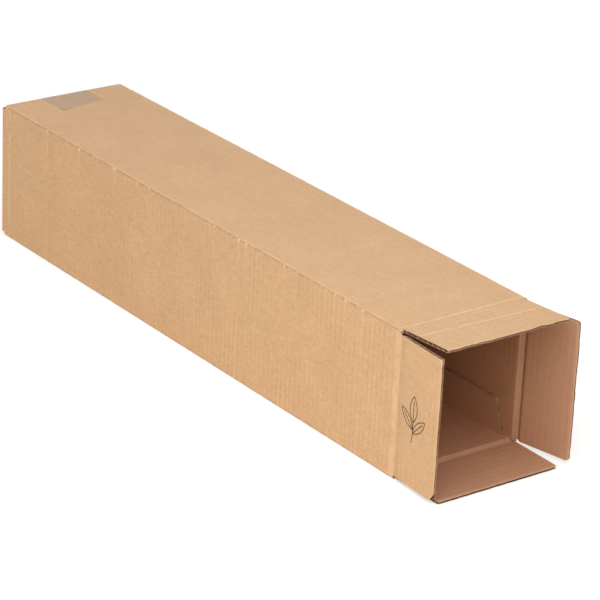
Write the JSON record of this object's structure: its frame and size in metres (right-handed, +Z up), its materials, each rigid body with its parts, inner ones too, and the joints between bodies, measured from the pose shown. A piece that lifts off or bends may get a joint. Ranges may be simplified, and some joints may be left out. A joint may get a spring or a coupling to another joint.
{
  "type": "square mailing tube",
  "caption": "Long square mailing tube folded from corrugated board, shut and taped at one end, with hinged flaps standing open at the other for rolled sheets.",
  "frame": {"origin": "centre of the bottom panel's outer face, half way along the closed carton", "axes": "+X along the carton to its open end, +Y to its back wall, +Z up"},
  "size_m": [0.6672, 0.1452, 0.1345],
  "materials": {
    "board": "matt kraft liner",
    "tape": "glossy, clear with a brown tint"
  },
  "bodies": {
    "carton": {"carton": "board", "closing_tape": "tape"},
    "front_flap": {"front_flap": "board"},
    "back_flap": {"back_flap": "board"},
    "top_flap": {"top_flap": "board"},
    "bottom_flap": {"bottom_flap": "board"}
  },
  "joints": [
    {"name": "front_flap_crease", "type": "hinge", "parent": "carton", "child": "front_flap", "pos_m": [0.30625, -0.0656, 0.0655], "axis": [0, 0, 1], "range_deg": [-172, 93]},
    {"name": "back_flap_crease", "type": "hinge", "parent": "carton", "child": "back_flap", "pos_m": [0.30625, 0.0656, 0.0655], "axis": [0, 0, -1], "range_deg": [-163, 102]},
    {"name": "top_flap_crease", "type": "hinge", "parent": "carton", "child": "top_flap", "pos_m": [0.30285, 0, 0.1311], "axis": [0, 1, 0], "range_deg": [-171.5, 93.5]},
    {"name": "bottom_flap_crease", "type": "hinge", "parent": "carton", "child": "bottom_flap", "pos_m": [0.30285, 0, -0.0001], "axis": [0, -1, 0], "range_deg": [-175, 90]}
  ]
}
